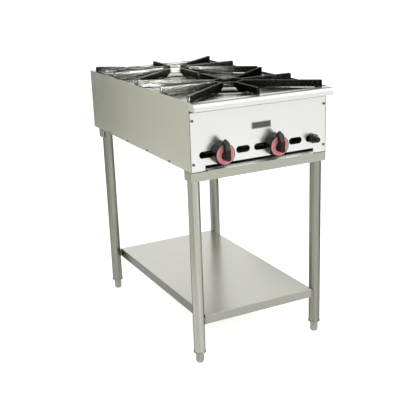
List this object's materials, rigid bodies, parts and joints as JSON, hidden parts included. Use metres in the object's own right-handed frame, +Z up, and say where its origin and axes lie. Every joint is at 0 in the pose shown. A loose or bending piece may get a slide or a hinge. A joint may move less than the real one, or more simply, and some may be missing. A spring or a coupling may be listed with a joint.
{
  "type": "stock pot range",
  "caption": "Open-stand gas stock pot range: deep steel body, one burner behind the other under spoked cast-iron grates, front ledge, knobs, drip tray, undershelf and adjustable feet.",
  "frame": {"origin": "middle of the overall footprint, on the floor", "axes": "+Z up, -Y towards the user (the control panel faces -Y), +X to the user's right"},
  "size_m": [0.5024, 0.94, 0.8968],
  "materials": {
    "stand_steel": "satin",
    "shelf_steel": "satin",
    "weld_metal": "as welded",
    "foot_metal": "cast, dull",
    "side_steel": "brushed",
    "front_steel": "brushed",
    "deck_steel": "polished",
    "black_screw": "black",
    "screw_steel": "turned",
    "plated_steel": "zinc plated",
    "badge_plate": "satin, blank",
    "tray_steel": "brushed",
    "cast_iron": "matte, rough",
    "gas_pipe": "black",
    "brass": "machined",
    "pilot_metal": "drawn",
    "knob_plastic": "moulded",
    "inlay_red": "smooth"
  },
  "bodies": {
    "range": {"badge_plate": "badge_plate", "body_bolts": "plated_steel", "burner_beam_front": "plated_steel", "burner_beam_rear": "plated_steel", "burner_cap_front": "cast_iron", "burner_cap_rear": "cast_iron", "burner_front": "cast_iron", "burner_rear": "cast_iron", "control_panel": "front_steel", "control_panel_screws": "screw_steel", "deck_plate": "deck_steel", "flue_trim": "deck_steel", "foot_sockets": "foot_metal", "front_ledge": "front_steel", "front_rail": "stand_steel", "gas_jets": "brass", "gas_manifold": "gas_pipe", "gas_valve_front": "brass", "gas_valve_rear": "brass", "inlet_nuts": "plated_steel", "ledge_end_caps": "front_steel", "leg_front_left": "stand_steel", "leg_front_right": "stand_steel", "leg_plates": "weld_metal", "leg_rear_left": "stand_steel", "leg_rear_right": "stand_steel", "manifold_brackets": "plated_steel", "pilot_burners": "pilot_metal", "pilot_tubes": "pilot_metal", "pilot_valve": "brass", "rear_panel": "side_steel", "rear_panel_screws": "plated_steel", "rear_rail": "stand_steel", "shelf_stiffener": "shelf_steel", "shelf_welds": "weld_metal", "side_panel_left": "side_steel", "side_panel_right": "side_steel", "side_panel_screws": "black_screw", "spill_bowl_front": "deck_steel", "spill_bowl_rear": "deck_steel", "supply_pipe": "gas_pipe", "tray_runner_left": "plated_steel", "tray_runner_right": "plated_steel", "undershelf": "shelf_steel"},
    "front_knob_body": {"knob_front": "knob_plastic", "knob_inlay_front": "inlay_red", "valve_stem_front": "brass"},
    "rear_knob_body": {"knob_rear": "knob_plastic", "knob_inlay_rear": "inlay_red", "valve_stem_rear": "brass"},
    "pilot_knob_body": {"pilot_knob": "knob_plastic"},
    "front_shutter_body": {"air_shutter_front": "plated_steel"},
    "rear_shutter_body": {"air_shutter_rear": "plated_steel"},
    "tray_body": {"drip_tray": "tray_steel"},
    "front_grate_body": {"grate_front": "cast_iron"},
    "rear_grate_body": {"grate_rear": "cast_iron"},
    "front_left_foot": {"foot_front_left": "foot_metal"},
    "front_right_foot": {"foot_front_right": "foot_metal"},
    "rear_left_foot": {"foot_rear_left": "foot_metal"},
    "rear_right_foot": {"foot_rear_right": "foot_metal"}
  },
  "joints": [
    {"name": "front_burner_knob_turn", "type": "hinge", "parent": "range", "child": "front_knob_body", "pos_m": [0.05, -0.437, 0.7115], "axis": [0, -1, 0], "range_deg": [0, 90]},
    {"name": "rear_burner_knob_turn", "type": "hinge", "parent": "range", "child": "rear_knob_body", "pos_m": [-0.145, -0.437, 0.7115], "axis": [0, -1, 0], "range_deg": [0, 90]},
    {"name": "pilot_knob_turn", "type": "hinge", "parent": "range", "child": "pilot_knob_body", "pos_m": [0.195, -0.437, 0.7115], "axis": [0, -1, 0], "range_deg": [0, 90]},
    {"name": "front_air_shutter_turn", "type": "hinge", "parent": "range", "child": "front_shutter_body", "pos_m": [0.05, -0.3303, 0.7115], "axis": [0, -1, 0], "range_deg": [0, 90]},
    {"name": "rear_air_shutter_turn", "type": "hinge", "parent": "range", "child": "rear_shutter_body", "pos_m": [-0.145, -0.3303, 0.7115], "axis": [0, -1, 0], "range_deg": [0, 90]},
    {"name": "drip_tray_slide", "type": "slide", "parent": "range", "child": "tray_body", "axis": [0, -1, 0], "range_m": [0, 0.45]},
    {"name": "front_grate_lift", "type": "slide", "parent": "range", "child": "front_grate_body", "axis": [0, 0, 1], "range_m": [0, 0.25]},
    {"name": "rear_grate_lift", "type": "slide", "parent": "range", "child": "rear_grate_body", "axis": [0, 0, 1], "range_m": [0, 0.25]},
    {"name": "front_left_foot_adjust", "type": "slide", "parent": "range", "child": "front_left_foot", "axis": [0, 0, -1], "range_m": [0, 0.025]},
    {"name": "front_right_foot_adjust", "type": "slide", "parent": "range", "child": "front_right_foot", "axis": [0, 0, -1], "range_m": [0, 0.025]},
    {"name": "rear_left_foot_adjust", "type": "slide", "parent": "range", "child": "rear_left_foot", "axis": [0, 0, -1], "range_m": [0, 0.025]},
    {"name": "rear_right_foot_adjust", "type": "slide", "parent": "range", "child": "rear_right_foot", "axis": [0, 0, -1], "range_m": [0, 0.025]}
  ]
}
